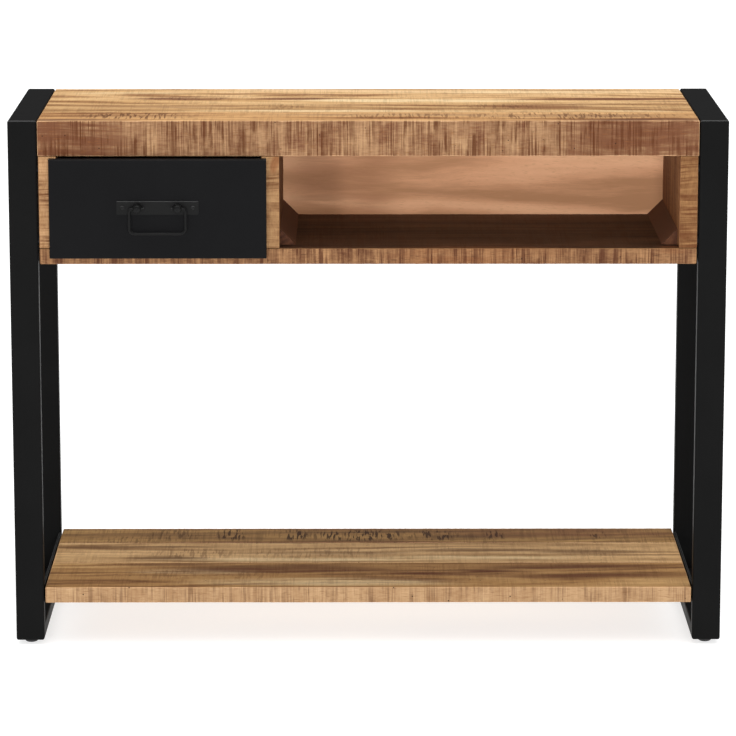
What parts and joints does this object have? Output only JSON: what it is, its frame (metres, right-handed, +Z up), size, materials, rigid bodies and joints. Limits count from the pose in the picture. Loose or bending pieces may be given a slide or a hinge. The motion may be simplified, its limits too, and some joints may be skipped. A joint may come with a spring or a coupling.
{
  "type": "console table with drawer",
  "caption": "Narrow side table with black steel side frames, a rough-sawn wooden box with a black-fronted drawer and an open compartment, and a low wooden shelf.",
  "frame": {"origin": "on the floor under the middle of the whole table's box, the handle included", "axes": "+X along the table to the open compartment's end, +Y from the drawer's front to the back, +Z up"},
  "size_m": [1, 0.3786, 0.75],
  "materials": {
    "frame_black": "satin black powder coat",
    "drawer_black": "satin black powder coat on folded sheet",
    "handle_black": "satin black paint",
    "top_wood": "rough-sawn mango wood, matt lacquer",
    "box_wood": "rough-sawn mango wood, matt lacquer",
    "shelf_wood": "rough-sawn mango wood, matt lacquer",
    "back_wood": "planed mango wood",
    "drawer_wood": "planed mango wood",
    "dowel_wood": "fluted hardwood dowel",
    "zinc_steel": "zinc plated",
    "black_steel": "black zinc plated",
    "runner_steel": "cold rolled, zinc plated",
    "bearing_steel": "bright ball steel",
    "foot_plastic": "moulded black plastic"
  },
  "bodies": {
    "table": {"box_back_panel": "back_wood", "box_bolts": "black_steel", "box_bottom_board": "box_wood", "box_divider": "box_wood", "box_dowels": "dowel_wood", "box_left_panel": "box_wood", "box_nuts": "zinc_steel", "box_right_panel": "box_wood", "box_spacers": "black_steel", "compartment_strip_left": "box_wood", "compartment_strip_right": "box_wood", "foot_nuts": "zinc_steel", "left_bottom_rail": "frame_black", "left_front_leg": "frame_black", "left_rear_leg": "frame_black", "left_shelf_angle": "frame_black", "left_top_rail": "frame_black", "right_bottom_rail": "frame_black", "right_front_leg": "frame_black", "right_rear_leg": "frame_black", "right_shelf_angle": "frame_black", "right_top_rail": "frame_black", "runner_outer_left": "runner_steel", "runner_outer_right": "runner_steel", "runner_wall_screws": "zinc_steel", "shelf_plank_front": "shelf_wood", "shelf_plank_middle": "shelf_wood", "shelf_plank_rear": "shelf_wood", "shelf_screws": "zinc_steel", "top_plank_front": "top_wood", "top_plank_front_middle": "top_wood", "top_plank_rear": "top_wood", "top_plank_rear_middle": "top_wood"},
    "drawer": {"drawer_left_side": "drawer_wood", "drawer_right_side": "drawer_wood", "drawer_inner_front": "drawer_wood", "drawer_back": "drawer_wood", "drawer_bottom": "drawer_wood", "drawer_front_pan": "drawer_black", "drawer_front_core": "drawer_wood", "drawer_front_screws": "zinc_steel", "drawer_box_screws": "zinc_steel", "handle_plate": "handle_black", "handle_rivets": "handle_black", "handle_posts": "handle_black", "runner_inner_left": "runner_steel", "runner_inner_right": "runner_steel", "runner_drawer_screws": "zinc_steel"},
    "handle_bail": {"handle_bail": "handle_black"},
    "runner_middles": {"runner_middle_left": "runner_steel", "runner_middle_right": "runner_steel"},
    "runner_outer_cages": {"runner_outer_cage_left": "bearing_steel", "runner_outer_cage_right": "bearing_steel"},
    "runner_inner_cages": {"runner_inner_cage_left": "bearing_steel", "runner_inner_cage_right": "bearing_steel"},
    "foot_front_left": {"foot_front_left": "foot_plastic"},
    "foot_front_right": {"foot_front_right": "foot_plastic"},
    "foot_rear_left": {"foot_rear_left": "foot_plastic"},
    "foot_rear_right": {"foot_rear_right": "foot_plastic"}
  },
  "joints": [
    {"name": "drawer_slide", "type": "slide", "parent": "table", "child": "drawer", "axis": [0, -1, 0], "range_m": [0, 0.24]},
    {"name": "runner_middle_slide", "type": "slide", "parent": "table", "child": "runner_middles", "axis": [0, -1, 0], "range_m": [0, 0.12]},
    {"name": "runner_outer_cage_slide", "type": "slide", "parent": "table", "child": "runner_outer_cages", "axis": [0, -1, 0], "range_m": [0, 0.06]},
    {"name": "runner_inner_cage_slide", "type": "slide", "parent": "table", "child": "runner_inner_cages", "axis": [0, -1, 0], "range_m": [0, 0.18]},
    {"name": "handle_bail_swing", "type": "hinge", "parent": "drawer", "child": "handle_bail", "pos_m": [-0.29225, -0.18425, 0.63], "axis": [-1, 0, 0], "range_deg": [-12, 168]},
    {"name": "foot_front_left_height", "type": "slide", "parent": "table", "child": "foot_front_left", "axis": [0, 0, -1], "range_m": [0, 0.008]},
    {"name": "foot_front_right_height", "type": "slide", "parent": "table", "child": "foot_front_right", "axis": [0, 0, -1], "range_m": [0, 0.008]},
    {"name": "foot_rear_left_height", "type": "slide", "parent": "table", "child": "foot_rear_left", "axis": [0, 0, -1], "range_m": [0, 0.008]},
    {"name": "foot_rear_right_height", "type": "slide", "parent": "table", "child": "foot_rear_right", "axis": [0, 0, -1], "range_m": [0, 0.008]}
  ],
  "couplings": [
    {"joint": "runner_middle_slide", "follows": "drawer_slide", "ratio": 0.5},
    {"joint": "runner_outer_cage_slide", "follows": "drawer_slide", "ratio": 0.25},
    {"joint": "runner_inner_cage_slide", "follows": "drawer_slide", "ratio": 0.75}
  ]
}
